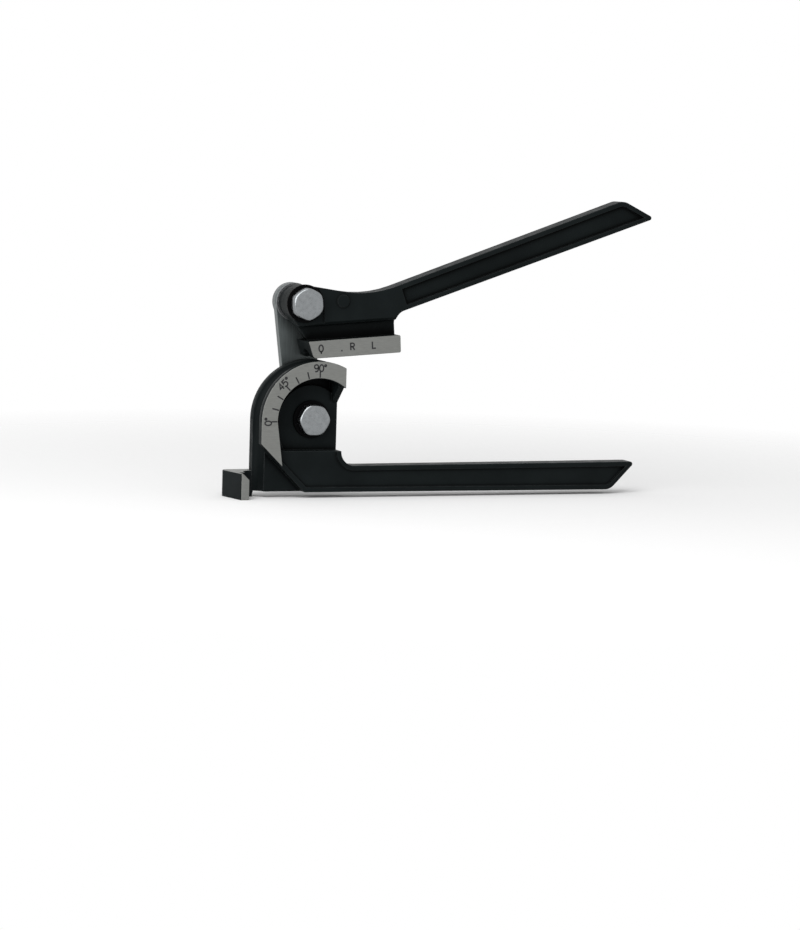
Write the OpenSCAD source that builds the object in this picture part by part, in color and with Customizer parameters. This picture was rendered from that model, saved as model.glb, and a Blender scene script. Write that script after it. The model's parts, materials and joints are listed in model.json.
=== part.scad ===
// Lever tube bender: a forming handle with its grooved wheel, a slide handle with its shoe,
// a link bar behind them and two shoulder bolts as pivots.
// The frame's origin lies on the tube axis where the bend starts, at the wheel's 0 degree mark.
// +X runs along the forming handle, +Y points away from the ground faces and +Z is up.

/* [Tube and bend] */
// Outside diameter of the tube that the tool bends
tube_d = 12.7; // [10:0.1:14]
// Bend radius, from the wheel centre to the tube axis
bend_r = 38.1; // [36:0.1:44]
// Gap between the tube and its grooves
groove_play = 0.1; // [0.05:0.01:0.2]

/* [Forming wheel] */
// Thickness of the wheel and the shoe across their ground faces
wheel_t = 24; // [22:0.5:28]
// How far the lips of the wheel's groove stop short of the tube axis
lip_gap = 0.4; // [0.2:0.1:1]
// Width of the ground scale band
scale_w = 10.6; // [8:0.1:12]
// Radius of the hub round the lower bolt
hub_r = 21.5; // [17:0.1:24]
// Depth of the hub face behind the ground face
hub_depth = 16; // [12:0.5:17]
// Thickness of the web that closes the wheel at the back
web_t = 4; // [3:0.5:5]
// Height of the boss behind the wheel, which keeps the link off it
boss_h = 1.5; // [0.5:0.1:3]
// Right edge of the neck and the scale band, from the wheel centre
neck_w = 17.6; // [14:0.1:20]
// Width of the gusset that joins the end of the rim to the hub
gusset_w = 4; // [3:0.5:6]
// Height of the gusset's slanted edge
gusset_h = 11; // [6:0.5:13]
// Step of the gusset behind the ground face
gusset_step = 3; // [1:0.5:5]
// Start of the front lip's slanted cut, below the wheel centre
lip_drop = 14; // [10:0.1:18]
// Straight run of the neck between the grip's fillet and the step to the handle's root
neck_run = 0.5; // [0.3:0.1:2]
// How far the scale band's straight end leans towards the hub
scale_lean = 3.8; // [2:0.1:6]

/* [Grips] */
// Top edge of the forming handle's grip, below the wheel centre
grip_drop = 28.8; // [26:0.1:32]
// Reach of the forming handle's tip, from the wheel centre
forming_reach = 222; // [160:0.5:280]
// Length of the slide handle's grip, from the hollow behind it to its tip
slide_grip_len = 184; // [120:0.5:230]
// Height of a grip at its root
grip_h = 16.4; // [14:0.1:20]
// Height of a grip at its end
grip_end_h = 18.1; // [14:0.1:22]
// Thickness of a grip
grip_t = 13; // [10:0.5:16]
// Angle of the slanted cut at a grip's end
grip_cut = 46; // [35:1:60]
// Width of the raised edge round a grip's panel
edge_w = 3; // [2:0.1:4]
// Depth of a grip's panel
panel_depth = 1.8; // [0.5:0.1:2.5]
// Fillet between the neck and the forming handle's grip
neck_fillet = 9; // [6:0.5:12]
// Rounding of a grip's blunt end corner
grip_corner = 9; // [3:0.5:12]
// Rounding of a grip's sharp tip
tip_round = 1.5; // [1:0.1:3]

/* [Tube hook] */
// Top of the hook, below the wheel centre
hook_drop = 32.4; // [28:0.1:36]
// Height of the hook along the tube
hook_h = 16.6; // [12:0.1:20]
// Thickness of the hook's wall beside the tube
hook_wall = 5.5; // [4:0.1:8]
// Thickness of the hook's arm behind the tube
hook_arm = 9; // [4:0.1:11]
// How far the hook's outer side flares out from its front end to its back
hook_flare = 5.5; // [0:0.1:7]
// Gap between the hook and the tube
hook_play = 0.3; // [0.2:0.05:0.6]
// Rounding of the hook's outer edge at the back
hook_round = 4; // [2:0.5:5]
// Slanted lead-in at the hook's front end, where the tube goes in
hook_lead = 4; // [2:0.1:5]

/* [Shoe] */
// Distance from the slide handle's pivot to the axis of the shoe's groove
pivot_rise = 35.35; // [33:0.05:40]
// Distance of the slide handle's pivot left of the wheel centre, with the shoe on the tube
pivot_left = 9.4; // [5:0.05:13]
// How far the shoe's lips stop short of the tube axis
shoe_gap = 1; // [0.5:0.1:2]
// Height of the shoe's ground flange
flange_h = 11; // [9:0.1:13]
// Left end of the flange's top edge, left of the slide handle's pivot
flange_left = 0.5; // [0:0.1:4]
// Left end of the flange's lip, right of the slide handle's pivot
flange_toe = 2.4; // [1:0.1:6]
// Right end of the flange, from the slide handle's pivot
shoe_right = 60.8; // [50:0.1:65]
// How far the flange stands out past the body at its right end
flange_out = 0.6; // [0.2:0.1:2]
// Rounding of the flange's toe
toe_round = 3; // [1:0.1:4]
// Height of the channel between the flange and the handle's body
channel_h = 9.4; // [7:0.1:10]
// Thickness of the web that the channels leave
channel_web = 6; // [5:0.1:9]
// Chamfer along the channel's upper edge
channel_chamfer = 1.6; // [0.5:0.1:2]
// Rounding of the channel's inner corner
channel_fillet = 1.8; // [0.5:0.1:1.8]
// Lift of the shoe off the tube's line, in degrees
shoe_lift = 4.1; // [0:0.1:6]

/* [Slide handle] */
// Angle between the shoe's groove and the slide handle's grip
grip_tilt = 15.7; // [10:0.1:22]
// Left end of the body over the flange, right of the pivot
body_left = 2.5; // [0:0.1:5]
// Angle below the horizontal at which the body's left flank leaves the pivot boss
flank_dir = 35; // [20:1:50]
// Radius of the hollow along the body's top
saddle_r = 70; // [55:1:80]
// Place of the hollow's lowest point, right of the pivot
saddle_x = 41.6; // [36:0.1:46]
// Height of the hollow's lowest point over the pivot
saddle_z = 4.2; // [2:0.1:6]
// Fillet under the grip's root
crotch_fillet = 8; // [4:0.5:12]
// Start of the slide handle's panel, from the hollow behind the grip
panel_start = 1; // [0:0.5:10]
// Depth of the spot face under the upper bolt's washer
spot_depth = 1; // [0.6:0.1:1.5]
// Gap of the spot face round that washer
spot_play = 0.6; // [0.3:0.1:1.5]
// Step from the body's rounding to the rear boss
boss_step = 0.9; // [0.4:0.1:1.5]
// Radius of the round pad on the body's face
pad_r = 4; // [3:0.1:6]
// Height of that pad
pad_h = 0.8; // [0.4:0.1:1.2]
// Place of that pad, right of the pivot
pad_x = 25.5; // [18:0.1:30]

/* [Link] */
// Thickness of the link bar
link_t = 5.5; // [4:0.1:8]
// Width of the link bar
link_w = 24; // [20:0.5:26]
// Play on each side of the link bar
link_play = 0.1; // [0.05:0.05:0.3]

/* [Pivot bolts] */
// Shoulder diameter of the pivot bolts
shoulder_d = 12; // [10:0.5:14]
// Thread diameter of the pivot bolts
thread_d = 10; // [8:0.5:10]
// Width across flats of the bolt heads
head_af = 19; // [17:0.5:22]
// Height of the bolt heads
head_h = 7; // [5:0.5:9]
// Outside diameter of the washers
washer_d = 24; // [22:0.5:24]
// How far the washers stand out past the bosses
washer_out = 0.5; // [0.2:0.1:1]
// Thickness of the washers under the bolt heads
head_washer_t = 2; // [1.5:0.1:3]
// Thickness of the spacer washers against the link bar
spacer_t = 1.2; // [1:0.1:2]
// Thickness of the washers under the nuts
nut_washer_t = 2; // [1.5:0.1:3]
// Width across flats of the lock nuts
nut_af = 17; // [15:0.5:19]
// Height of the hexagon of the lock nuts
nut_h = 7.4; // [6:0.1:9]
// Height of the lock nuts' collars
collar_h = 2.6; // [2:0.1:4]
// Wall of the lock nuts' collars round the insert
collar_wall = 0.8; // [0.5:0.1:1.2]
// How far the insert sits below the collar's rim
insert_drop = 0.4; // [0.2:0.1:1]
// Thread that stands out of the lock nuts
thread_out = 1.6; // [0.5:0.1:3]
// Flat end face of a chamfered hexagon, as a share of its width across flats
face_share = 0.93; // [0.9:0.01:1]
// Radial clearance of the shoulders in their bores
shoulder_play = 0.05; // [0.02:0.01:0.1]
// Radial clearance of the threads in washers and nuts
thread_play = 0.1; // [0.05:0.01:0.2]

/* [Hidden] */
$fn = 96;

// Overshoot of a cut past the face it leaves through
over = 1;
// Small rounding of cast corners
soft_r = 1;
// Angle between two points of a rounded outline
arc_step = 6;

// Paint and metals, for the preview only
paint = [0.12, 0.12, 0.13];
black = [0.1, 0.1, 0.1];
steel = [0.75, 0.75, 0.75];
dull = [0.45, 0.45, 0.46];
nylon = [0.9, 0.9, 0.9];

// Grooves and lips
groove_r = tube_d / 2 + groove_play;
lip_r = bend_r - lip_gap;
band_r = lip_r - scale_w;

// Depths along Y: the groove's middle plane is at 0
face_y = -wheel_t / 2;
back_y = wheel_t / 2;
hub_y = face_y + hub_depth;
web_y = back_y - web_t;
web_core_y = back_y - web_t / 2;
boss_y = back_y + boss_h;
grip_y = grip_t / 2;

// Bolts, bores and the stack behind the bosses
boss_r = washer_d / 2 - washer_out;
shoulder_bore = shoulder_d / 2 + shoulder_play;
thread_bore = thread_d / 2 + thread_play;
link_y = boss_y + spacer_t + link_play;
shoulder_y = link_y + link_t + link_play;
nut_y = shoulder_y + nut_washer_t;
collar_y = nut_y + nut_h;
nut_end_y = collar_y + collar_h;
collar_r = nut_af / 2 * face_share;
insert_r = collar_r - collar_wall;

// Pivots: the wheel centre from the frame's origin, the slide handle's pivot from the wheel centre
wheel_at = [bend_r, 0, 0];
pivot_at = [-pivot_left, 0, bend_r + pivot_rise];
link_len = norm(pivot_at);
link_lean = atan2(-pivot_left, bend_r + pivot_rise);

// Forming handle's outline, from the wheel centre
grip_bottom = grip_drop + grip_h;
root_drop = grip_drop - neck_fillet - neck_run;
ramp_end = neck_w + grip_t;
slant_foot = grip_bottom - lip_drop - lip_r;
cut_run = grip_end_h / tan(grip_cut);
grip_spread = (grip_end_h - grip_h) / 2;

// Tube hook, from the wheel centre
hook_r = tube_d / 2 + hook_play;
hook_in = -bend_r - hook_r;
hook_out = hook_in - hook_wall;
hook_back = hook_r + hook_arm;

// Shoe and channels, from the slide handle's pivot
lip_z = -pivot_rise + shoe_gap;
flange_z = lip_z + flange_h;
body_z = flange_z + channel_h;
spot_r = washer_d / 2 + spot_play;
crotch_x = shoe_right - flange_out;

// Tangent from the pivot boss to the saddle, which lies above the body
saddle_at = [saddle_x, saddle_z + saddle_r];
saddle_dir = atan2(saddle_at.y, saddle_at.x);
tangent_dir = saddle_dir + acos((boss_r + saddle_r) / norm(saddle_at));
// Top of the slide handle's grip where it leaves the saddle
grip_top = saddle_at + saddle_r * [sin(grip_tilt), -cos(grip_tilt)];

// Seats of the bolts' washers
wheel_seat = hub_y;
handle_seat = -grip_y + spot_depth;

// Unit vector from p to q
function toward(p, q) = (q - p) / norm(q - p);
// Inward normal of the side from p to q of a counter-clockwise outline
function inward(p, q) = let (d = toward(p, q)) [-d.y, d.x];
// Place of an outline's corner without its radius
function flat(p) = [p.x, p.y];
// Corners before and after corner i of an outline
function before(pts, i) = flat(pts[(i + len(pts) - 1) % len(pts)]);
function after(pts, i) = flat(pts[(i + 1) % len(pts)]);
// Whether corner i of a counter-clockwise outline turns left
function convex(pts, i) =
    cross(toward(before(pts, i), flat(pts[i])), toward(flat(pts[i]), after(pts, i))) > 0;
// Outline [x, z, corner radius] moved inwards by d
function inset(pts, d) = [
    for (i = [0:len(pts) - 1])
    let (
        a = inward(before(pts, i), flat(pts[i])),
        b = inward(flat(pts[i]), after(pts, i)),
        p = flat(pts[i]) + (a + b) * d / (1 + a * b),
        r = convex(pts, i) ? max(pts[i].z - d, 0) : pts[i].z + d
    )
    [p.x, p.y, r]
];
// Point at run u along and height v across a line that starts at p with slope angle t
function along(p, t, u, v) = p + u * [cos(t), sin(t)] + v * [-sin(t), cos(t)];

// Points of an arc about c from angle a0 to a1
function arc(c, r, a0, a1) =
    let (n = ceil(abs(a1 - a0) / arc_step))
    [for (k = [0:n]) let (a = a0 + (a1 - a0) * k / n) c + r * [cos(a), sin(a)]];
// Arc that rounds corner i of an outline
function corner_arc(pts, i) =
    let (
        p = flat(pts[i]),
        u = toward(p, before(pts, i)),
        v = toward(p, after(pts, i)),
        half = acos(u * v) / 2,
        c = p + (u + v) / norm(u + v) * pts[i].z / sin(half),
        start = p + u * pts[i].z / tan(half) - c,
        a0 = atan2(start.y, start.x),
        turn = convex(pts, i) ? 180 - 2 * half : 2 * half - 180
    )
    arc(c, pts[i].z, a0, a0 + turn);
// Outline [x, z, corner radius] as the points of its sides and corner arcs
function rounded(pts) = [
    for (i = [0:len(pts) - 1]) each pts[i].z > 0 ? corner_arc(pts, i) : [flat(pts[i])]
];

// Counter-clockwise outline of [x, z, corner radius] with round corners
module soft_polygon(pts) {
    polygon(rounded(pts));
}

// Outline in the X-Z plane, made solid from y0 to y1
module plate(y0, y1) {
    translate([0, y1, 0]) rotate([90, 0, 0]) linear_extrude(y1 - y0) children();
}

// Outline in the Y-Z plane, made solid from x0 to x1
module rail(x0, x1) {
    translate([x0, 0, 0]) rotate([90, 0, 90]) linear_extrude(x1 - x0) children();
}

// Round bar along Y from y0 to y1
module bar_y(r, y0, y1) {
    translate([0, y1, 0]) rotate([90, 0, 0]) cylinder(r = r, h = y1 - y0);
}

// Hexagon along Y from y0 to y1, chamfered at the end that points to y0
module hex_y(af, y0, y1) {
    corner_r = af / sqrt(3);
    rise = corner_r - af / 2;
    chamfer = 2 * rise * tan(30);
    h = y1 - y0;
    translate([0, y1, 0]) rotate([90, 0, 0]) intersection() {
        cylinder(r = corner_r, h = h, $fn = 6);
        union() {
            cylinder(r = corner_r + over, h = h - chamfer);
            translate([0, 0, h - chamfer])
                cylinder(r1 = corner_r + rise, r2 = af / 2 * face_share, h = chamfer);
        }
    }
}

// The wheel centre's own frame
module at_wheel() {
    translate(wheel_at) children();
}

// The slide handle's own frame, with the shoe lifted as it stands at rest
module at_pivot() {
    translate(wheel_at + pivot_at) rotate([0, -shoe_lift, 0]) children();
}

// Washer along Y from y0 to y1
module washer(bore_r, y0, y1) {
    difference() {
        bar_y(washer_d / 2, y0, y1);
        bar_y(bore_r, y0 - over, y1 + over);
    }
}

// Forming handle's outline from the slanted cut to the tip, with the root's top edge at top_z
function forming_outline(top_z) = [
    [slant_foot, -grip_bottom, 0],
    [ramp_end, -grip_bottom, 0],
    [forming_reach - cut_run, -grip_bottom - grip_spread, grip_corner],
    [forming_reach, -grip_drop + grip_spread, tip_round],
    [neck_w, -grip_drop, neck_fillet],
    [neck_w, top_z, 0],
    [-lip_r - lip_drop - top_z, top_z, 0]
];

// Ground scale band: an arc over the wheel and a straight end cut on the slant
module scale_band() {
    tip_x = -band_r + scale_lean;
    intersection() {
        difference() {
            circle(lip_r);
            circle(band_r);
        }
        translate([-lip_r - over, 0]) square([lip_r + neck_w + over, lip_r + over]);
    }
    polygon([
        [-lip_r, 0],
        [-lip_r, -lip_drop],
        [tip_x, -lip_drop - lip_r - tip_x],
        [-band_r, 0]
    ]);
}

// Everything the wheel covers, seen from the front, down to the grip's lower edge
module wheel_outline() {
    intersection() {
        circle(lip_r);
        translate([-lip_r - over, 0]) square([lip_r + neck_w + over, lip_r + over]);
    }
    translate([-lip_r, -grip_bottom]) square([lip_r + neck_w, grip_bottom]);
}

// Rear half of the tube's straight run, below the slanted cut of the front lip
module rear_block() {
    polygon([[-lip_r, 0], [-lip_r, -grip_bottom], [slant_foot, -grip_bottom], [-band_r, 0]]);
}

// Hub disc and the floor of the neck below it
module hub_outline() {
    intersection() {
        circle(hub_r);
        translate([-hub_r - over, 0]) square([hub_r + neck_w + over, hub_r + over]);
    }
    translate([-hub_r, -grip_drop]) square([hub_r + neck_w, grip_drop]);
}

// Root of the handle inside the neck, behind the groove's middle plane
module root_block() {
    polygon([
        [slant_foot, -grip_bottom],
        [neck_w, -grip_bottom],
        [neck_w, -root_drop],
        [-lip_r - lip_drop + root_drop, -root_drop]
    ]);
}

// Gusset under the end of the rim, slanted down to the hub face
module rim_gusset() {
    foot_z = sqrt(pow(hub_r, 2) - pow(neck_w, 2)) - 2 * over;
    top_z = sqrt(pow(band_r, 2) - pow(neck_w - gusset_w, 2)) + over;
    rail(neck_w - gusset_w, neck_w) polygon([
        [hub_y, foot_z],
        [web_core_y, foot_z],
        [web_core_y, top_z],
        [face_y + gusset_step, top_z],
        [face_y + gusset_step, foot_z + gusset_h]
    ]);
}

// Ramp that thins the root and the neck's fillet down to the grip at the back
module root_ramp() {
    intersection() {
        plate(0, back_y) soft_polygon(forming_outline(-root_drop));
        translate([0, 0, -grip_bottom - over]) linear_extrude(grip_bottom) polygon([
            [neck_w - over, 0],
            [ramp_end, 0],
            [ramp_end, grip_y],
            [neck_w, back_y],
            [neck_w - over, back_y]
        ]);
    }
}

// Hook round the tube: a wall on its outer side and an arm behind it
module tube_hook() {
    translate([0, 0, -hook_drop - hook_h]) linear_extrude(hook_h) soft_polygon([
        [hook_out, face_y, soft_r],
        [hook_in, face_y, 0],
        [hook_in, hook_r, hook_r],
        [-lip_r + over, hook_r, 0],
        [-lip_r + over, hook_back, 0],
        [hook_out - hook_flare, hook_back, hook_round]
    ]);
}

// What the lead-in of the hook wall's front end takes away
module hook_nose() {
    reach = hook_lead + over;
    translate([hook_in, 0, -hook_drop]) plate(face_y - over, -hook_r / 2)
        polygon([[-reach, over], [over, -reach], [over, over]]);
}

// Tube groove: round the wheel and straight down past the hook
module wheel_groove() {
    rotate([90, 0, 0]) rotate_extrude(angle = 180) translate([bend_r, 0]) circle(groove_r);
    translate([-bend_r, 0, -grip_bottom - over]) cylinder(r = groove_r, h = grip_bottom + over);
}

// Root and grip of the forming handle, with a recessed panel on both sides
module forming_grip() {
    panel = inset(forming_outline(edge_w + over - root_drop), edge_w);
    difference() {
        plate(-grip_y, grip_y) soft_polygon(forming_outline(-root_drop));
        plate(-grip_y - over, -grip_y + panel_depth) soft_polygon(panel);
        plate(grip_y - panel_depth, grip_y + over) intersection() {
            soft_polygon(panel);
            translate([ramp_end + edge_w, -grip_bottom - grip_end_h])
                square([forming_reach, 2 * grip_end_h]);
        }
    }
}

// One casting: grooved wheel, hub, tube hook and grip
module forming_handle() color(paint) at_wheel() {
    difference() {
        union() {
            plate(face_y, web_core_y) scale_band();
            plate(0, web_core_y) rear_block();
            plate(hub_y, web_core_y) hub_outline();
            plate(web_y, back_y) wheel_outline();
            plate(0, web_core_y) root_block();
            forming_grip();
            rim_gusset();
            root_ramp();
            bar_y(boss_r, web_core_y, boss_y);
            difference() {
                tube_hook();
                hook_nose();
            }
        }
        wheel_groove();
        bar_y(shoulder_bore, face_y - over, boss_y + over);
    }
}

// Corner of the slide handle's grip: run u from the saddle, depth v below its top, corner radius r
function grip_corner_at(u, v, r) = concat(along(grip_top, grip_tilt, u, -v), [r]);

// Slide handle's grip from run u0 to its slanted end
function slide_grip(u0) = [
    grip_corner_at(u0, grip_h, 0),
    grip_corner_at(slide_grip_len, grip_h + grip_spread, tip_round),
    grip_corner_at(slide_grip_len - cut_run, -grip_spread, grip_corner),
    grip_corner_at(u0, 0, 0)
];

// Outline of the pivot boss, the body and the grip, hollowed along its top
module slide_outline() {
    hollow = arc(saddle_at, saddle_r, 270 + grip_tilt, 180 + tangent_dir);
    crotch_z = grip_top.y + (crotch_x - grip_top.x) * tan(grip_tilt) - grip_h / cos(grip_tilt);
    polygon(concat(
        arc([0, 0], boss_r, tangent_dir, 180 + flank_dir),
        rounded([
            [body_left, flange_z - over, 0],
            [crotch_x, flange_z - over, 0],
            [crotch_x, crotch_z, crotch_fillet],
            grip_corner_at(slide_grip_len, grip_h + grip_spread, tip_round),
            grip_corner_at(slide_grip_len - cut_run, -grip_spread, grip_corner),
            grip_corner_at(0, 0, 0)
        ]),
        [for (k = [1:len(hollow) - 1]) hollow[k]]
    ));
}

// Ground flanges of the shoe, with a slanted left end
module shoe_flange() {
    soft_polygon([
        [flange_toe, lip_z, toe_round],
        [shoe_right, lip_z, soft_r],
        [shoe_right, flange_z, soft_r],
        [-flange_left, flange_z, soft_r / 2]
    ]);
}

// Channel along the body's rear side, with a rounded inner corner and a chamfered upper edge
module shoe_channel() {
    reach = wheel_t / 2 + over;
    rail(-boss_r - over, shoe_right + over) soft_polygon([
        [channel_web / 2, flange_z - 2 * over, 0],
        [reach, flange_z - 2 * over, 0],
        [reach, body_z + channel_chamfer + reach - grip_y, 0],
        [grip_y - channel_chamfer, body_z, 0],
        [channel_web / 2, body_z, channel_fillet]
    ]);
}

// Spot face for the bolt's washer, milled open towards the channel
module washer_seat() {
    foot_z = body_z - over;
    polygon(concat(arc([0, 0], spot_r, 0, 180), [[-spot_r, foot_z], [spot_r, foot_z]]));
}

// One casting: shoe, pivot boss and grip
module slide_handle() color(paint) at_pivot() {
    panel = inset(slide_grip(panel_start), edge_w);
    difference() {
        union() {
            difference() {
                plate(-grip_y, grip_y) slide_outline();
                shoe_channel();
                mirror([0, 1, 0]) shoe_channel();
            }
            plate(face_y, back_y) shoe_flange();
            bar_y(boss_r - boss_step, 0, boss_y);
            translate([pad_x, 0, 0]) bar_y(pad_r, -grip_y - pad_h, 0);
        }
        for (sign = [-1, 1])
            plate(sign * grip_y - panel_depth, sign * grip_y + panel_depth) soft_polygon(panel);
        plate(-grip_y - over, -grip_y + spot_depth) washer_seat();
        translate([-boss_r, 0, -pivot_rise]) rotate([0, 90, 0])
            cylinder(r = groove_r, h = shoe_right + boss_r + over);
        bar_y(shoulder_bore, -grip_y - over, boss_y + over);
    }
}

// Flat bar with round ends that carries the slide handle round the wheel
module link_bar() color(dull) at_wheel() {
    rotate([0, link_lean, 0]) difference() {
        union() {
            bar_y(link_w / 2, link_y, link_y + link_t);
            translate([0, 0, link_len]) bar_y(link_w / 2, link_y, link_y + link_t);
            translate([-link_w / 2, link_y, 0]) cube([link_w, link_t, link_len]);
        }
        bar_y(shoulder_bore, link_y - over, link_y + link_t + over);
        translate([0, 0, link_len]) bar_y(shoulder_bore, link_y - over, link_y + link_t + over);
    }
}

// Hexagon-headed shoulder bolt whose head seats at seat_y
module pivot_bolt(seat_y) {
    hex_y(head_af, seat_y - head_h, seat_y);
    bar_y(shoulder_d / 2, seat_y, shoulder_y);
    bar_y(thread_d / 2, shoulder_y, nut_end_y + thread_out);
}

// Lock nut: a hexagon and a round collar that holds the insert
module lock_nut() {
    difference() {
        union() {
            hex_y(nut_af, nut_y, collar_y);
            bar_y(collar_r, collar_y, nut_end_y);
        }
        bar_y(thread_bore, nut_y - over, nut_end_y + over);
        bar_y(insert_r, collar_y, nut_end_y + over);
    }
}

// Nylon ring inside a lock nut's collar
module nut_insert() {
    difference() {
        bar_y(insert_r, collar_y, nut_end_y - insert_drop);
        bar_y(thread_bore, collar_y - over, nut_end_y + over);
    }
}

// Pieces of the lower pivot
module wheel_bolt() color(steel) at_wheel() pivot_bolt(wheel_seat - head_washer_t);
module wheel_head_washer() color(black) at_wheel()
    washer(shoulder_bore, wheel_seat - head_washer_t, wheel_seat);
module wheel_spacer() color(dull) at_wheel() washer(shoulder_bore, boss_y, boss_y + spacer_t);
module wheel_nut_washer() color(steel) at_wheel() washer(thread_bore, shoulder_y, nut_y);
module wheel_lock_nut() color(steel) at_wheel() lock_nut();
module wheel_nut_insert() color(nylon) at_wheel() nut_insert();

// Pieces of the upper pivot
module handle_bolt() color(steel) at_pivot() pivot_bolt(handle_seat - head_washer_t);
module handle_head_washer() color(black) at_pivot()
    washer(shoulder_bore, handle_seat - head_washer_t, handle_seat);
module handle_spacer() color(dull) at_pivot() washer(shoulder_bore, boss_y, boss_y + spacer_t);
module handle_nut_washer() color(steel) at_pivot() washer(thread_bore, shoulder_y, nut_y);
module handle_lock_nut() color(steel) at_pivot() lock_nut();
module handle_nut_insert() color(nylon) at_pivot() nut_insert();

forming_handle();
slide_handle();
link_bar();
wheel_bolt();
wheel_head_washer();
wheel_spacer();
wheel_nut_washer();
wheel_lock_nut();
wheel_nut_insert();
handle_bolt();
handle_head_washer();
handle_spacer();
handle_nut_washer();
handle_lock_nut();
handle_nut_insert();
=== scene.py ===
"""Finishes, marks and studio of a lever tube bender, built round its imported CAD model."""

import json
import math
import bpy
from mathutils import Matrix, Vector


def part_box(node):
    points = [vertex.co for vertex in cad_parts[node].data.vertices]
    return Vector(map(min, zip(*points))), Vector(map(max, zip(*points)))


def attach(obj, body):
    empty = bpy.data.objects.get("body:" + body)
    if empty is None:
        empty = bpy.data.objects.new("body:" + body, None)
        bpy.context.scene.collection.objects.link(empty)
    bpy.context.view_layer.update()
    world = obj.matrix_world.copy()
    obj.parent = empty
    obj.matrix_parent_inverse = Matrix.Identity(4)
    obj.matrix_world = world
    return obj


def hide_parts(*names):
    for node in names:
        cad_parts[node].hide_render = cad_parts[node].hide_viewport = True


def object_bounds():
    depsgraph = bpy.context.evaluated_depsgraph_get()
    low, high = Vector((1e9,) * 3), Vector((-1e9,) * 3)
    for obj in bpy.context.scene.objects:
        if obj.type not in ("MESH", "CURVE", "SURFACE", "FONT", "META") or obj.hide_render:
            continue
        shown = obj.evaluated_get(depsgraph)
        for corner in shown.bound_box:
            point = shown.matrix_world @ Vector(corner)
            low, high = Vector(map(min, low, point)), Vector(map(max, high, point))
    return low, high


bl_info = {
    "name": "Lever tube bender",
    "version": (1, 0, 0),
    "blender": (4, 5, 0),
    "location": "View3D > Sidebar > Tube bender",
    "description": "Castings, link, pivot bolts, scale marks and studio of a lever tube bender",
    "category": "Object",
}

import bpy
import numpy as np
from mathutils import Matrix, Vector

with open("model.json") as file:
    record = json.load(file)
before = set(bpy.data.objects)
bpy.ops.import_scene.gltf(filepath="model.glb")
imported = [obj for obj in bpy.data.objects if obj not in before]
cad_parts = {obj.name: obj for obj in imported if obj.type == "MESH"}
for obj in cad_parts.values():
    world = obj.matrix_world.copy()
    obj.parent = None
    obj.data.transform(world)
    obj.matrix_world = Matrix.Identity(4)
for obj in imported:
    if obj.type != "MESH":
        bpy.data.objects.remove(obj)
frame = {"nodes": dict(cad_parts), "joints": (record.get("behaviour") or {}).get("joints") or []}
cad_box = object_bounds()

OBJECT_MIDDLE = (cad_box[0] + cad_box[1]) / 2
FLOOR_LEVEL = cad_box[0].z
JOINTS = {joint["name"]: joint for joint in frame["joints"]}
WHEEL_CENTRE = np.array(JOINTS["link_swing"]["pos_m"], float)
SHOE_PIVOT = np.array(JOINTS["handle_pivot"]["pos_m"], float)
SHOE_LIFT = math.radians(4.1)
HEAD_TURN = math.radians(30)

# Each pivot's centre, the body that its bolt and nut move with, and the turn of their hexagons
PIVOTS = {
    "wheel": (WHEEL_CENTRE, "forming_side", 0.0),
    "handle": (SHOE_PIVOT, "slide_side", SHOE_LIFT + HEAD_TURN),
}

# Each casting's paint, and two values of openness that set the painted shade in its recesses:
# they are darkest at the first, and have their full colour at the second
CASTINGS = {
    "forming_handle": ("wheel_paint_and_shade", (0.3, 0.8)),
    "slide_handle": ("shoe_paint_and_shade", (0.75, 1.0)),
}
HEAD_WASHERS = ("wheel_head_washer", "handle_head_washer")
SPACERS = ("wheel_spacer", "handle_spacer", "wheel_nut_washer", "handle_nut_washer")
INSERTS = ("wheel_nut_insert", "handle_nut_insert")

# Boxes in metres whose edges stay sharp, because the flats between them are narrower than the rounding
GROOVE_RIM = ((-0.001, 0.0055, -0.046), (0.004, 0.0075, -0.001))
FRONT_CHANNEL_ROOF = ((0.02, -0.0054, 0.058), (0.095, -0.0042, 0.065))
BACK_CHANNEL_ROOF = ((0.02, 0.0042, 0.058), (0.095, 0.0054, 0.065))
FLANGE_TIP = ((0.089, -0.013, 0.0535), (0.092, 0.013, 0.0555))
SHARP_ZONES = (GROOVE_RIM, FRONT_CHANNEL_ROOF, BACK_CHANNEL_ROOF, FLANGE_TIP)

# CAD faces that fold by less than the flat limit are joined, and edges past the fold limit are rounded
FLAT_LIMIT = math.radians(0.6)
FOLD_LIMIT = math.radians(32)
WELD_GAP = 0.00001
EDGE_STEPS = 2

# Grid of the bolts and nuts: columns round the axis, rings across a head's face as shares of its radius,
# rows over a rolled lip, rows along one turn of a thread, and the fold past which an edge is shaded sharp
COLUMNS = 144
FACE_RINGS = (0.35, 0.7)
LIP_ROWS = 9
TURN_ROWS = 12
SMOOTH_LIMIT = math.radians(38)

# A thread's depth and the depth of its chamfered tip, as shares of its pitch, and the steepness of its flanks
THREAD_DEPTH = 0.55
THREAD_TIP = 0.75
THREAD_FLANK = 1.3

# Ticks of the scale, the steps from one numbered tick to the next, and each label with its angle in degrees
TICKS = 7
LABEL_STEP = 3
SCALE_LABELS = (("0o", 0), ("45o", 45), ("90o", 90))

# Least square of the summed unit normals at a stroke's corner, which keeps the mitres of sharp corners short
MITRE_LIMIT = 0.6

# Sides of the floor's disc, the share of its radius at which it starts to fade, and the sensor in millimetres
FLOOR_SIDES = 96
FADE_START = 0.25
SENSOR_WIDTH = 36

# Places of the Mix node's sockets A, B and Result for numbers and for colours
MIX_SOCKETS = {"FLOAT": (2, 3, 0), "RGBA": (6, 7, 2)}


def colour_setting(name, description, default):
    """A property that holds a colour"""
    return bpy.props.FloatVectorProperty(
        name=name, description=description, subtype="COLOR", size=3, min=0, max=1, default=default
    )


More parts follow.
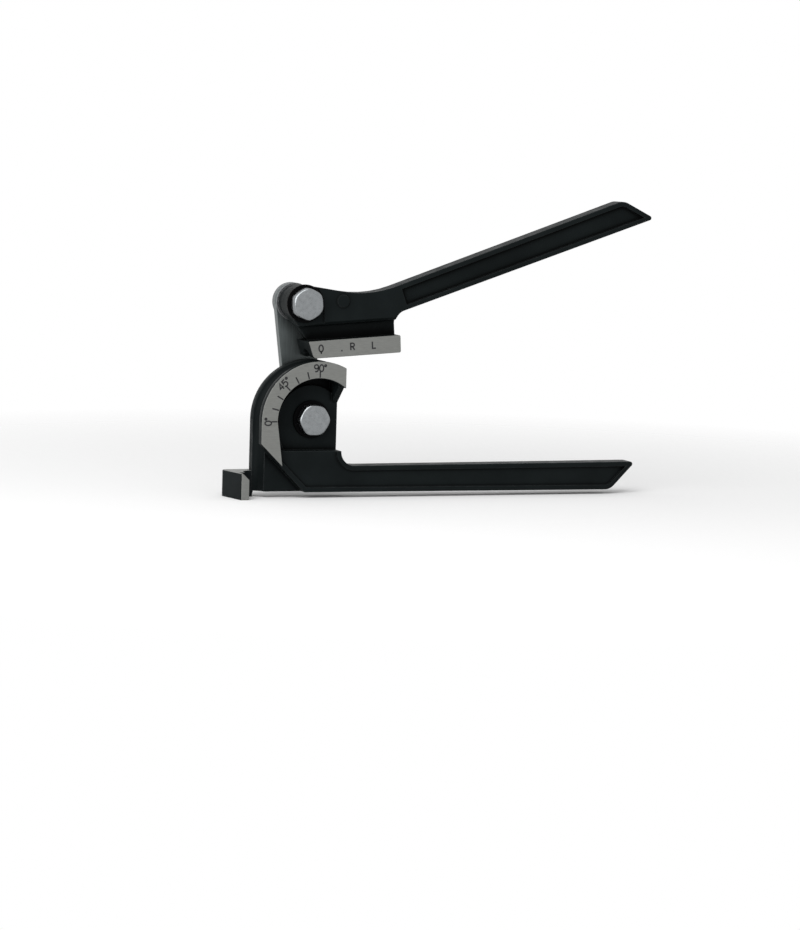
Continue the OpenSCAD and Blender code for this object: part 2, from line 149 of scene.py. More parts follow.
def place_setting(name, description, default):
    """A property that holds a point or an offset in metres"""
    return bpy.props.FloatVectorProperty(
        name=name, description=description, subtype="TRANSLATION", unit="LENGTH", size=3, default=default
    )


def length_setting(name, description, default, **limits):
    """A property that holds a length in metres, within limits if there are any"""
    return bpy.props.FloatProperty(
        name=name, description=description, subtype="DISTANCE", unit="LENGTH", default=default, **limits
    )


def angle_setting(name, description, default):
    """A property that holds an angle in radians, shown in degrees"""
    return bpy.props.FloatProperty(name=name, description=description, subtype="ANGLE", default=default)


def power_setting(name, description, default):
    """A property that holds a lamp's power in watts"""
    return bpy.props.FloatProperty(
        name=name, description=description, subtype="POWER", unit="POWER", default=default
    )


def share_setting(name, description, default, least=0):
    """A property that holds a share from its least value to 1"""
    return bpy.props.FloatProperty(
        name=name, description=description, subtype="FACTOR", min=least, max=1, default=default
    )


def softness_setting(name, description, default):
    """A property that holds the power that rounds a hexagon's corners"""
    return bpy.props.FloatProperty(name=name, description=description, min=6, max=80, default=default)


class BenderFinishes(bpy.types.PropertyGroup):
    """Colours and edges of the pieces"""

    paint: colour_setting("Paint", "Black paint on both castings", (0.0069, 0.009, 0.0093))
    # Worn paint along the castings' edges; its lighter colour also paints the highlight that the rounded
    # edges catch
    worn_paint_and_highlight: colour_setting(
        "Worn paint", "Paint worn thin along the castings' edges", (0.06, 0.064, 0.066)
    )
    ground_steel: colour_setting(
        "Ground steel", "Bare ground faces of the wheel, the hook and the shoe", (0.198, 0.202, 0.192)
    )
    link_steel: colour_setting("Link steel", "Grey steel of the link bar", (0.11, 0.125, 0.125))
    zinc: colour_setting("Zinc", "Plating of the bolts and nuts", (0.245, 0.258, 0.266))
    black_oxide: colour_setting("Black oxide", "Washers under the bolt heads", (0.0016, 0.0016, 0.0018))
    dull_steel: colour_setting("Dull steel", "Spacers and washers behind the link bar", (0.16, 0.164, 0.168))
    nylon: colour_setting("Nylon", "Insert rings of the lock nuts", (0.78, 0.78, 0.74))
    mark_paint: colour_setting("Mark paint", "Paint in the scale and shoe marks", (0.012, 0.012, 0.013))
    edge_radius: length_setting(
        "Edge rounding", "Width of the rounding along the castings' edges", 0.0004, min=0.0001, max=0.001
    )
    small_edge: length_setting(
        "Small edge rounding",
        "Width of the rounding along the edges of the link, washers, spacers and inserts",
        0.00025,
        min=0.00005,
        max=0.0005,
    )
    ground_level: length_setting(
        "Ground level", "Depth along Y in front of which the castings are bare ground steel", -0.01188
    )
    ragged_edge: length_setting("Ragged edge", "How far the edge of the paint wanders", 0.00004)
    # A band along the hook's top takes the ground steel's colour as a painted highlight of the light from
    # above
    hook_highlight_top: place_setting(
        "Hook top",
        "Point left of which and just above which the tube hook is bare ground steel",
        (0.0, 0.0, -0.03252),
    )
    hook_highlight_band: length_setting("Hook band", "How far above the hook top the bare steel reaches", 0.00105)


class BenderMarks(bpy.types.PropertyGroup):
    """Sizes of the scale on the wheel and the marks on the shoe"""

    face: length_setting("Ground face", "Depth along Y of the ground faces that carry the marks", -0.012)
    line: length_setting("Line width", "Width of every line of the marks", 0.0009)
    rise: length_setting("Paint rise", "How far the mark paint stands out of the ground face", 0.00003)
    band_radius: length_setting(
        "Band radius", "Inner radius of the scale band, where the ticks start", 0.0271
    )
    tick_step: angle_setting("Tick step", "Angle between two ticks of the scale", math.radians(15))
    plain_tick: length_setting("Plain tick", "Length of the ticks between the numbers", 0.005)
    numbered_tick: length_setting("Numbered tick", "Length of the ticks under the numbers", 0.0042)
    digit_height: length_setting("Digit height", "Height of the numbers on the scale", 0.0046)
    digit_radius: length_setting("Digit radius", "Radius at the middle of the numbers", 0.0335)
    shoe_height: length_setting("Shoe letter height", "Height of the marks on the shoe", 0.0046)
    shoe_line: length_setting(
        "Shoe mark line", "Height of the middle of the shoe's marks, from the slide handle's pivot", -0.0284
    )
    shoe_lift: angle_setting(
        "Shoe lift", "Turn of the slide handle at rest, anticlockwise from the front", SHOE_LIFT
    )
    shoe_zero: length_setting(
        "Shoe zero", "Place of the shoe's zero, right of the slide handle's pivot", 0.0075
    )
    shoe_dot: length_setting(
        "Shoe dot", "Place of the shoe's dot, right of the slide handle's pivot", 0.0212
    )
    shoe_right: length_setting(
        "Shoe right mark", "Place of the shoe's right-hand mark, right of the slide handle's pivot", 0.0284
    )
    shoe_left: length_setting(
        "Shoe left mark", "Place of the shoe's left-hand mark, right of the slide handle's pivot", 0.0427
    )


class BenderFasteners(bpy.types.PropertyGroup):
    """Sizes of the pivot bolts and lock nuts"""

    head_width: length_setting("Head width", "Width across flats of the bolt heads", 0.019)
    head_height: length_setting("Head height", "Height of the bolt heads", 0.007)
    head_softness: softness_setting(
        "Head softness", "Power that rounds the corners of a forged bolt head: lower is rounder", 8
    )
    face_share: share_setting(
        "Face share", "Flat end face of a hexagon, as a share of its width across flats", 0.93, least=0.8
    )
    seat_share: share_setting(
        "Seat share", "Washer face under a bolt head, as a share of its width across flats", 0.97, least=0.8
    )
    chamfer: angle_setting("Chamfer", "Slope of the chamfer round a hexagon's end face", math.radians(30))
    shoulder: length_setting("Shoulder", "Diameter of the bolts' shoulders", 0.012)
    shoulder_end: length_setting(
        "Shoulder end", "Depth along Y at which the shoulders end and the threads start", 0.0204
    )
    thread: length_setting("Thread", "Outside diameter of the threads", 0.01)
    pitch: length_setting("Pitch", "Pitch of the threads", 0.0015)
    nut_width: length_setting("Nut width", "Width across flats of the lock nuts", 0.017)
    nut_softness: softness_setting(
        "Nut softness", "Power that rounds the corners of a lock nut: lower is rounder", 40
    )
    nut_height: length_setting("Nut height", "Height of the lock nuts' hexagons", 0.0074)
    nut_bore: length_setting("Nut bore", "Diameter of the bores of the lock nuts", 0.0102)
    collar_wall: length_setting("Collar wall", "Wall of the lock nuts' collars round the insert", 0.0008)
    rounding: length_setting(
        "Edge rounding", "Width of the rounding along the edges of the bolts and nuts", 0.0002
    )


class BenderStudio(bpy.types.PropertyGroup):
    """Camera, floor and light"""

    target: place_setting(
        "Camera target", "Point in the middle of the picture", (0.089166, -0.02261, -0.026718)
    )
    azimuth: angle_setting(
        "Azimuth", "Turn of the camera round the object, to the right from the front", math.radians(-21)
    )
    elevation: angle_setting("Elevation", "Height of the camera above the horizon", math.radians(6))
    roll: angle_setting("Roll", "Turn of the camera about its line of sight", math.radians(1.685))
    distance: length_setting("Camera distance", "Distance of the camera from its target", 2.0)
    lens: bpy.props.FloatProperty(
        name="Focal length",
        description="Focal length of the camera in millimetres",
        subtype="DISTANCE_CAMERA",
        default=122.949,
    )
    floor_colour: colour_setting("Floor", "Colour of the pale floor", (0.93, 0.93, 0.93))
    floor_radius: length_setting(
        "Floor radius", "Radius at which the floor has faded into the backdrop", 0.6
    )
    ambient: share_setting("Ambient", "Strength of the light from all sides", 0.55)
    key_power: power_setting("Key light", "Power of the large soft light above the object", 13)
    key_size: length_setting("Key size", "Side of the square key light", 1.2)
    key_place: place_setting(
        "Key place", "Place of the key light from the object's middle", (-0.6, -0.75, 1.1)
    )
    fill_power: power_setting(
        "Fill light", "Power of the soft light from the left, in front of the object", 7
    )
    fill_size: length_setting("Fill size", "Side of the square fill light", 0.8)
    fill_place: place_setting(
        "Fill place", "Place of the fill light from the object's middle", (-1.0, -1.0, 0.3)
    )


# Materials


class NodeBoard:
    """A material's node tree, with short calls that add nodes and join sockets"""

    def __init__(self, name):
        self.material = bpy.data.materials.new(name)
        self.material.use_nodes = True
        self.tree = self.material.node_tree
        self.shader = self.tree.nodes["Principled BSDF"]

    def add(self, kind, settings=None, **sockets):
        node = self.tree.nodes.new(kind)
        for key, value in (settings or {}).items():
            setattr(node, key, value)
        for key, value in sockets.items():
            self.plug(node.inputs[key.replace("_", " ")], value)
        return node

    def plug(self, socket, value):
        if isinstance(value, bpy.types.NodeSocket):
            self.tree.links.new(value, socket)
        else:
            socket.default_value = value

    def set(self, name, value):
        self.plug(self.shader.inputs[name], value)

    def place(self, scale=(1, 1, 1), shift=(0, 0, 0)):
        """Object coordinates, stretched and then shifted by a Mapping node"""
        coords = self.add("ShaderNodeTexCoord")
        mapping = self.add("ShaderNodeMapping", Vector=coords.outputs["Object"], Scale=scale, Location=shift)
        return mapping.outputs["Vector"]

    def noise(self, scale, detail=3.0, stretch=(1, 1, 1)):
        node = self.add("ShaderNodeTexNoise", Vector=self.place(stretch), Scale=scale, Detail=detail)
        return node.outputs["Fac"]

    def spread(self, value, low, high, from_low=0.3, from_high=0.7):
        """value's middle range carried to low..high"""
        node = self.add(
            "ShaderNodeMapRange", Value=value, From_Min=from_low, From_Max=from_high, To_Min=low, To_Max=high
        )
        return node.outputs["Result"]

    def below(self, value, limit, softness=0.00003):
        """1 where value is under the limit and 0 over it"""
        return self.spread(value, 1, 0, limit - softness, limit + softness)

    def above(self, value, limit, softness=0.00003):
        """1 where value is over the limit and 0 under it"""
        return self.spread(value, 0, 1, limit - softness, limit + softness)

    def mix(self, kind, factor, a, b):
        node = self.add("ShaderNodeMix", {"data_type": kind}, Factor=factor)
        first, second, result = MIX_SOCKETS[kind]
        self.plug(node.inputs[first], a)
        self.plug(node.inputs[second], b)
        return node.outputs[result]

    def blend(self, factor, a, b):
        """Number a where factor is 0 and b where it is 1"""
        return self.mix("FLOAT", factor, a, b)

    def tint(self, factor, a, b):
        """Colour a where factor is 0 and b where it is 1"""
        return self.mix("RGBA", factor, a, b)

    def two_tone(self, pattern, colour, dark, light):
        """The colour times dark where the pattern is low, and times light where it is high"""
        return self.tint(self.spread(pattern, 0, 1), shade(colour, dark), shade(colour, light))

    def maths(self, operation, a, b):
        node = self.add("ShaderNodeMath", {"operation": operation})
        self.plug(node.inputs[0], a)
        self.plug(node.inputs[1], b)
        return node.outputs[0]

    def product(self, a, b):
        return self.maths("MULTIPLY", a, b)

    def openness(self, reach):
        """1 on open faces, less in recesses that the piece itself closes in within that reach"""
        node = self.add("ShaderNodeAmbientOcclusion", {"samples": 8, "only_local": True}, Distance=reach)
        return node.outputs["AO"]

    def edges(self, reach, low, high):
        """0 on flat faces and 1 along edges

        It follows how far the normal averaged over the reach leans off the face's own.
        """
        soft = self.add("ShaderNodeBevel", {"samples": 8}, Radius=reach)
        own = self.add("ShaderNodeNewGeometry")
        lean = self.add("ShaderNodeVectorMath", {"operation": "DOT_PRODUCT"})
        self.plug(lean.inputs[0], soft.outputs["Normal"])
        self.plug(lean.inputs[1], own.outputs["True Normal"])
        return self.spread(lean.outputs["Value"], 1, 0, 1 - high, 1 - low)

    def bump(self, height, depth):
        node = self.add("ShaderNodeBump", Height=height, Distance=depth)
        self.set("Normal", node.outputs["Normal"])


def shade(colour, factor):
    """An opaque colour with its brightness times factor"""
    return tuple(min(1.0, channel * factor) for channel in colour) + (1.0,)


def bare_steel_and_hook_highlight(board, finishes):
    """1 on the faces in front of the ground level and on a band along the hook's top, and 0 on the painted
    rest; the hook's band is a painted highlight in the ground steel's colour.
    """
    across, depth, rise = board.add("ShaderNodeSeparateXYZ", Vector=board.place()).outputs
    ragged = board.spread(board.noise(900), -finishes.ragged_edge, finishes.ragged_edge)
    ground = board.below(board.maths("ADD", depth, ragged), finishes.ground_level)
    # Band along the hook's top: a painted highlight in the ground steel's colour
    side, _, top = finishes.hook_highlight_top
    hook = board.product(board.below(across, side), board.above(rise, top))
    hook = board.product(hook, board.below(rise, top + finishes.hook_highlight_band))
    return board.maths("MAXIMUM", ground, hook)


def casting_finish(name, finishes, shade_range):
    """Black paint with a cast grain, and painted shade that darkens its recesses. Paint worn thin along
    edges, whose lighter colour also paints their highlight. Bare steel on ground faces, also used as a
    painted highlight along the hook's top.

    shade_range is the openness at which a recess's painted shade is darkest, and that at which it has the
    full colour.
    """
    board = NodeBoard(name)
    # ground also carries the painted highlight along the hook's top
    ground = bare_steel_and_hook_highlight(board, finishes)
    cloud = board.noise(45)
    patches = board.noise(160)
    chips = board.noise(210)
    grain = board.noise(1100, 2.0)
    lines = board.noise(1.0, 2.0, (260, 60, 5200))
    # Openness at two reaches: painted shade darkens the coat in fine creases and in recesses that the casting
    # closes in
    no_crease = board.spread(board.openness(reach=0.003), 0, 1, 0.5, 0.9)
    unshaded = board.product(board.spread(board.openness(reach=0.009), 0, 1, *shade_range), no_crease)
    # Paint worn thin along edges, kept out of creases and broken into chips; the lighter edge is also a
    # painted highlight
    worn = board.edges(reach=0.0007, low=0.015, high=0.11)
    thin = board.product(board.product(worn, no_crease), board.spread(chips, 0.35, 1))
    coat = board.two_tone(cloud, finishes.paint, 0.82, 1.2)
    # Painted shade: the coat falls to a tenth of the paint's brightness where the casting is closed in
    coat = board.tint(unshaded, shade(finishes.paint, 0.1), coat)
    coat = board.tint(thin, coat, shade(finishes.worn_paint_and_highlight, 1))
    steel = board.two_tone(lines, finishes.ground_steel, 0.86, 1.08)
    gloss = board.spread(patches, 0.36, 0.48)
    satin = board.spread(lines, 0.36, 0.5)
    board.set("Base Color", board.tint(ground, coat, steel))
    board.set("Metallic", board.blend(ground, 0.0, 0.75))
    board.set("Roughness", board.blend(ground, gloss, satin))
    board.set("Specular IOR Level", 0.03)
    board.bump(board.blend(ground, grain, board.spread(lines, 0.4, 0.6)), 0.00005)
    return board.material


def link_finish(finishes):
    """Rolled grey steel: long streaks along the bar and a soft sheen."""
    board = NodeBoard("link_steel")
    streaks = board.noise(1.0, 3.0, (2400, 300, 90))
    cloud = board.noise(70)
    mixed = board.blend(0.4, streaks, cloud)
    board.set("Base Color", board.two_tone(mixed, finishes.link_steel, 0.8, 1.25))
    board.set("Metallic", 0.85)
    board.set("Roughness", board.spread(mixed, 0.3, 0.46))
    board.bump(streaks, 0.00003)
    return board.material


def zinc_finish(finishes, centre):
    """Bright zinc: a faint crystal mottle, and turning rings about an axis along Y through the centre."""
    board = NodeBoard("bolt_zinc")
    mottle = board.noise(420)
    across = board.place((1, 0, 1), (-centre[0], 0, -centre[2]))
    reach = board.add("ShaderNodeVectorMath", {"operation": "LENGTH"}, Vector=across).outputs["Value"]
    turning = board.add("ShaderNodeTexNoise", {"noise_dimensions": "1D"}, W=reach, Scale=3600.0, Detail=2.0)
    rings = turning.outputs["Fac"]
    board.set("Base Color", board.two_tone(mottle, finishes.zinc, 0.88, 1.1))
    board.set("Metallic", 1.0)
    board.set("Roughness", board.spread(board.blend(0.5, mottle, rings), 0.22, 0.38))
    board.bump(rings, 0.000004)
    return board.material


def oxide_finish(finishes):
    """Black oxide: dark, slightly uneven and softly glossy."""
    board = NodeBoard("washer_black")
    mottle = board.noise(500)
    grain = board.noise(2200)
    board.set("Base Color", board.two_tone(mottle, finishes.black_oxide, 0.75, 1.25))
    board.set("Roughness", board.spread(mottle, 0.34, 0.5))
    board.set("Specular IOR Level", 0.03)
    board.bump(grain, 0.000002)
    return board.material


def dull_finish(finishes):
    """Dull plated steel of stamped washers."""
    board = NodeBoard("spacer_steel")
    mottle = board.noise(600)
    grain = board.noise(2600)
    board.set("Base Color", board.two_tone(mottle, finishes.dull_steel, 0.82, 1.12))
    board.set("Metallic", 0.95)
    board.set("Roughness", board.spread(mottle, 0.38, 0.55))
    board.bump(grain, 0.00002)
    return board.material


def nylon_finish(finishes):
    """Natural nylon: slightly cloudy white with a soft gloss."""
    board = NodeBoard("insert_nylon")
    cloud = board.noise(380)
    grain = board.noise(1800)
    board.set("Base Color", board.two_tone(cloud, finishes.nylon, 0.92, 1.04))
    board.set("Roughness", board.spread(cloud, 0.4, 0.52))
    board.bump(grain, 0.00002)
    return board.material


def mark_finish(finishes):
    """Matt paint filled into stamped marks, a little uneven."""
    board = NodeBoard("mark_paint")
    wear = board.noise(1500)
    board.set("Base Color", board.two_tone(wear, finishes.mark_paint, 0.8, 2.2))
    board.set("Roughness", board.spread(wear, 0.55, 0.7))
    board.set("Specular IOR Level", 0.2)
    return board.material


# Pieces


def dress(nodes, material):
    """Gives CAD nodes one material in place of their own."""
    for name in nodes:
        for slot in frame["nodes"][name].material_slots:
            slot.material = material


def edge_weights():
    """A node group that weighs an edge 1 where its faces fold past the limit, outside the sharp zones.

    An edge lies in a zone when its middle's distances from the zone's middle are all under the half sizes.
    """
    tree = bpy.data.node_groups.new("edge_weights", "GeometryNodeTree")
    tree.interface.new_socket("Geometry", in_out="INPUT", socket_type="NodeSocketGeometry")
    tree.interface.new_socket("Geometry", in_out="OUTPUT", socket_type="NodeSocketGeometry")

    def add(kind, settings, *sockets):
        node = tree.nodes.new(kind)
        for key, value in settings.items():
            setattr(node, key, value)
        for socket, value in zip(node.inputs, sockets):
            if isinstance(value, bpy.types.NodeSocket):
                tree.links.new(value, socket)
            else:
                socket.default_value = value
        return node.outputs

    def maths(operation, a, b):
        return add("ShaderNodeMath", {"operation": operation}, a, b)[0]

    def vectors(operation, *sockets):
        return add("ShaderNodeVectorMath", {"operation": operation}, *sockets)[0]

    middle = add("GeometryNodeInputPosition", {})["Position"]
    fold = add("GeometryNodeInputMeshEdgeAngle", {})["Unsigned Angle"]
    weight = maths("GREATER_THAN", fold, FOLD_LIMIT)
    for zone in SHARP_ZONES:
        low, high = np.array(zone)
        reach = vectors("ABSOLUTE", vectors("SUBTRACT", middle, (low + high) / 2))
        beyond = vectors("SUBTRACT", reach, (high - low) / 2)
        x, y, z = add("ShaderNodeSeparateXYZ", {}, beyond)
        outside = maths("GREATER_THAN", maths("MAXIMUM", maths("MAXIMUM", x, y), z), 0.0)
        weight = maths("MULTIPLY", weight, outside)
    mesh = add("NodeGroupInput", {})["Geometry"]
    store = tree.nodes.new("GeometryNodeStoreNamedAttribute")
    store.data_type = "FLOAT"
    store.domain = "EDGE"
    store.inputs["Name"].default_value = "bevel_weight_edge"
    tree.links.new(mesh, store.inputs["Geometry"])
    tree.links.new(weight, store.inputs["Value"])
    end = tree.nodes.new("NodeGroupOutput")
    tree.links.new(store.outputs["Geometry"], end.inputs["Geometry"])
    return tree


def round_edges(nodes, width):
    """Welds a node's loose triangles into faces and rounds its sharp edges by a bevel of that width."""
    weights = bpy.data.node_groups.get("edge_weights") or edge_weights()
    for name in nodes:
        piece = frame["nodes"][name]
        weld = piece.modifiers.new("weld", "WELD")
        weld.merge_threshold = WELD_GAP
        flats = piece.modifiers.new("flats", "DECIMATE")
        flats.decimate_type = "DISSOLVE"
        flats.angle_limit = FLAT_LIMIT
        piece.modifiers.new("weights", "NODES").node_group = weights
        bevel = piece.modifiers.new("edges", "BEVEL")
        bevel.width = width
        bevel.segments = EDGE_STEPS
        bevel.limit_method = "WEIGHT"
        bevel.use_clamp_overlap = False
        bevel.loop_slide = False
        bevel.harden_normals = True


def new_object(name, points, faces):
    """A mesh object at the origin, from an array of points and a list of faces."""
    mesh = bpy.data.meshes.new(name)
    mesh.from_pydata(points.tolist(), [], faces)
    mesh.update()
    piece = bpy.data.objects.new(name, mesh)
    bpy.context.scene.collection.objects.link(piece)
    return piece


def grid_quads(rows, columns, closed):
    """Quads between rows of a grid whose columns go round; a closed one joins its last row to its first."""
    start = np.arange(rows if closed else rows - 1)[:, None] * columns
    after = (start + columns) % (rows * columns)
    column = np.arange(columns)
    beside = (column + 1) % columns
    return np.stack([start + column, after + column, after + beside, start + beside], -1).reshape(-1, 4)


def ribbon(path, width, closed):
    """A flat ribbon along a path in a plane: each point moves half the width along the mitre of its sides.

    With n the sum of the two sides' unit normals, the move is n / max(n.n, limit) times the width.
    Returns the left and right edge, two arrays of points.
    """
    path = np.asarray(path, float)
    if closed:
        ahead = np.roll(path, -1, 0) - path
        behind = np.roll(ahead, 1, 0)
    else:
        steps = np.diff(path, axis=0)
        ahead = np.vstack([steps, steps[-1:]])
        behind = np.vstack([steps[:1], steps])
    ahead = ahead / np.linalg.norm(ahead, axis=1, keepdims=True)
    behind = behind / np.linalg.norm(behind, axis=1, keepdims=True)
    normal = np.stack([-ahead[:, 1] - behind[:, 1], ahead[:, 0] + behind[:, 0]], 1)
    move = normal / np.maximum((normal**2).sum(1, keepdims=True), MITRE_LIMIT) * width
    return path + move, path - move


def raised_line(path, width, low, high, closed):
    """A rectangle carried along a path: both ribbon edges at the low and the high level, four points a step.

    Returns points (u, v, level) and quads; an open line has end caps.
    """
    left, right = ribbon(path, width, closed)
    count = len(left)
    corners = ((left, high), (right, high), (right, low), (left, low))
    rings = [np.column_stack([edge, np.full(count, level)]) for edge, level in corners]
    points = np.stack(rings, 1).reshape(-1, 3)
    quads = grid_quads(count, len(corners), closed)[:, ::-1]
    if not closed:
        last = (count - 1) * len(corners)
        caps = np.array([[3, 2, 1, 0], [last, last + 1, last + 2, last + 3]])
        quads = np.vstack([quads, caps])
    return points, quads


def oval(centre, half_width, half_height, start=0.0, end=360.0, count=28):
    """Points (a cos t, b sin t) of an ellipse about centre, for t from one angle to another in degrees."""
    angle = np.radians(np.linspace(start, end, count, endpoint=abs(end - start) < 360))
    return np.stack([centre[0] + half_width * np.cos(angle), centre[1] + half_height * np.sin(angle)], 1)


def loop(centre, half_width, half_height, count=28):
    """A closed stroke: an ellipse about centre."""
    return oval(centre, half_width, half_height, count=count), True


def stroke(*points):
    """An open stroke through single points and stretches of points."""
    return np.vstack(points), False


# Strokes of each sign in a box from -0.5 to 0.5, and its width as a share of its height
# The small o is the degree sign, and Q is the zero with its line
SIGNS = {
    "0": ([loop((0, 0), 0.29, 0.46)], 0.74),
    "4": ([stroke((0.28, -0.14), (-0.3, -0.14), (0.12, 0.46), (0.12, -0.48))], 0.74),
    "5": ([stroke((0.24, 0.45), (-0.22, 0.45), oval((-0.04, -0.16), 0.31, 0.31, 130, -150, 22))], 0.74),
    "9": ([loop((0, 0.19), 0.28, 0.27), stroke(oval((-0.02, -0.02), 0.3, 0.46, 20, -120, 14))], 0.74),
    "o": ([loop((0, 0.34), 0.12, 0.12, 16)], 0.4),
    ".": ([stroke((-0.1, -0.46), (0.1, -0.46))], 0.3),
    "Q": ([loop((0, 0.04), 0.3, 0.46), stroke((0, -0.3), (0, -0.72))], 0.74),
    "R": (
        [
            stroke(
                (-0.26, -0.48),
                (-0.26, 0.46),
                (-0.04, 0.46),
                oval((0.02, 0.22), 0.24, 0.24, 90, -90, 14),
                (-0.04, -0.02),
                (-0.26, -0.02),
            ),
            stroke((0, -0.02), (0.28, -0.48)),
        ],
        0.78,
    ),
    "L": ([stroke((-0.22, 0.48), (-0.22, -0.45), (0.26, -0.45))], 0.7),
}


def label(text, height):
    """Strokes of a word, its middle at the origin, as (path, closed) pairs in metres."""
    signs = [SIGNS[sign] for sign in text]
    widths = np.array([share for _, share in signs]) * height
    middles = np.cumsum(widths) - widths / 2 - widths.sum() / 2
    strokes = []
    for (paths, _), middle in zip(signs, middles):
        for path, closed in paths:
            strokes.append((path * height + [middle, 0], closed))
    return strokes


def turned(strokes, centre, along, up):
    """Strokes moved to centre, with their own axes laid along two directions of the plane."""
    return [(centre + path[:, :1] * along + path[:, 1:] * up, closed) for path, closed in strokes]


def mark_mesh(name, strokes, marks):
    """All strokes of a face as one mesh: plane coordinates (u, v, level) become (u, face - level, v)."""
    points, faces, count = [], [], 0
    for path, closed in strokes:
        line, quads = raised_line(path, marks.line, -marks.rise * 2, marks.rise, closed)
        points.append(line)
        faces.append(quads + count)
        count += len(line)
    points = np.vstack(points)
    place = np.column_stack([points[:, 0], marks.face - points[:, 2], points[:, 1]])
    return new_object(name, place, np.vstack(faces).tolist())


def paint_marks(scene, name, strokes, body):
    """Puts strokes on the ground face as one painted piece that moves with a body."""
    piece = mark_mesh(name, strokes, scene.bender_marks)
    piece.data.materials.append(mark_finish(scene.bender_finishes))
    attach(piece, body)


def hexagon(width, softness):
    """Radius of a soft hexagon in each column: half the width over the norm of the cosines to its six sides.

    The norm's power is the softness, and the first side faces 30 degrees on from the first column.
    """
    angle = np.linspace(0, 2 * np.pi, COLUMNS, endpoint=False)
    facing = np.radians(30 + 60 * np.arange(6))
    cosines = np.maximum(np.cos(angle[:, None] - facing), 0)
    return width / 2 / (cosines**softness).sum(1) ** (1 / softness)


def lathe_mesh(name, radius, depth, centre, turn, closed):
    """A grid round an axis along Y: the point at angle t and row s is (r cos t, y, r sin t) about the centre.

    radius and depth hold a row of columns for each step of the profile, and turn is the first column's angle.
    An open profile is closed by a pole on the axis at each end; a closed one joins its last row to its first.
    """
    rows, columns = radius.shape
    angle = turn + np.linspace(0, 2 * np.pi, columns, endpoint=False)
    x = centre[0] + radius * np.cos(angle)
    z = centre[2] + radius * np.sin(angle)
    points = np.stack([x, depth, z], -1).reshape(-1, 3)
    faces = grid_quads(rows, columns, closed).tolist()
    if not closed:
        column = np.arange(columns)
        beside = (column + 1) % columns
        pole = np.full(columns, len(points))
        last = (rows - 1) * columns
        fan = np.stack([pole, column, beside], 1)
        cap = np.stack([pole + 1, last + beside, last + column], 1)
        ends = [[centre[0], level, centre[2]] for level in (depth[0, 0], depth[-1, 0])]
        points = np.vstack([points, ends])
        faces += fan.tolist() + cap.tolist()
    piece = new_object(name, points, faces)
    piece.data.shade_smooth()
    piece.data.set_sharp_from_angle(angle=SMOOTH_LIMIT)
    return piece


def profile_rows(*rows):
    """Stacks rows (radius, depth), each a number or an array over the columns, into two grids."""
    radius = np.stack([np.broadcast_to(row[0], COLUMNS) for row in rows])
    depth = np.stack([np.broadcast_to(row[1], COLUMNS) for row in rows])
    return radius, depth


def thread_rows(sizes, start, end):
    """Thread from start to end: the radius falls by a trapezoid wave of y / pitch - angle / full turn.

    Over the last stretch a 45 degree chamfer limits the radius.
    """
    count = int((end - start) / sizes.pitch * TURN_ROWS)
    depth = np.repeat(np.linspace(start, end, count)[:, None], COLUMNS, 1)
    phase = depth / sizes.pitch - np.linspace(0, 1, COLUMNS, endpoint=False)
    wave = np.clip(np.abs((phase % 1) * 2 - 1) * THREAD_FLANK - (THREAD_FLANK - 1) / 2, 0, 1)
    radius = sizes.thread / 2 - wave * sizes.pitch * THREAD_DEPTH
    tip = sizes.thread / 2 - sizes.pitch * THREAD_TIP
    return np.minimum(radius, tip + (end - depth)), depth


def bolt_mesh(name, node, centre, turn, sizes):
    """Shoulder bolt: a chamfered soft hexagon, a washer face, a shoulder and a helical thread in one profile.

    The chamfer's foot follows the hexagon: its depth is the face's plus (radius - face radius) tan(slope).
    """
    low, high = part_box(node)
    side = hexagon(sizes.head_width, sizes.head_softness)
    edge = sizes.rounding
    face = sizes.head_width / 2 * sizes.face_share
    flange = sizes.head_width / 2 * sizes.seat_share
    shaft = sizes.shoulder / 2
    front = low.y
    seat = front + sizes.head_height
    foot = front + (side - face) * math.tan(sizes.chamfer)
    radius, depth = profile_rows(
        *[(face * share, front) for share in FACE_RINGS],
        (face - edge, front),
        (face + edge / 2, front + edge / 3),
        (side - edge, foot - edge / 2),
        (side, foot + edge),
        (side, seat - 3 * edge),
        (side - edge, seat - 2 * edge),
        (flange, seat - 2 * edge),
        (flange, seat),
        (shaft + edge, seat),
        (shaft, seat + edge),
        (shaft, sizes.shoulder_end - edge),
        (shaft - edge, sizes.shoulder_end),
        (sizes.thread / 2 - sizes.pitch / 2, sizes.shoulder_end),
    )
    spiral, run = thread_rows(sizes, sizes.shoulder_end + edge, high.y)
    return lathe_mesh(name, np.vstack([radius, spiral]), np.vstack([depth, run]), centre, turn, False)


